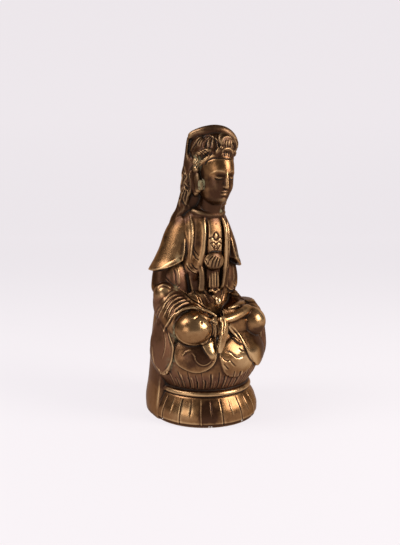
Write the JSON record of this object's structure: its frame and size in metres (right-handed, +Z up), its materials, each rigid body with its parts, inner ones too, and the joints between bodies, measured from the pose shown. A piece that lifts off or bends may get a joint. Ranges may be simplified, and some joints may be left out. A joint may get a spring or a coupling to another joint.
{
  "type": "seated guanyin figure",
  "caption": "Cast brass table figure of a veiled guanyin seated cross-legged on a lotus over a round ringed foot, one casting with a smooth mantle down the back.",
  "frame": {"origin": "centre of the round foot on its underside", "axes": "+Z up, the figure faces -Y, and its right hand is on the -X side"},
  "size_m": [0.0956, 0.0888, 0.2198],
  "materials": {
    "brass": "old polished brass, darkened in the hollows and rubbed bright on the knees, cape and edges"
  },
  "bodies": {
    "root": {"guanyin_figure": "brass"}
  },
  "joints": []
}
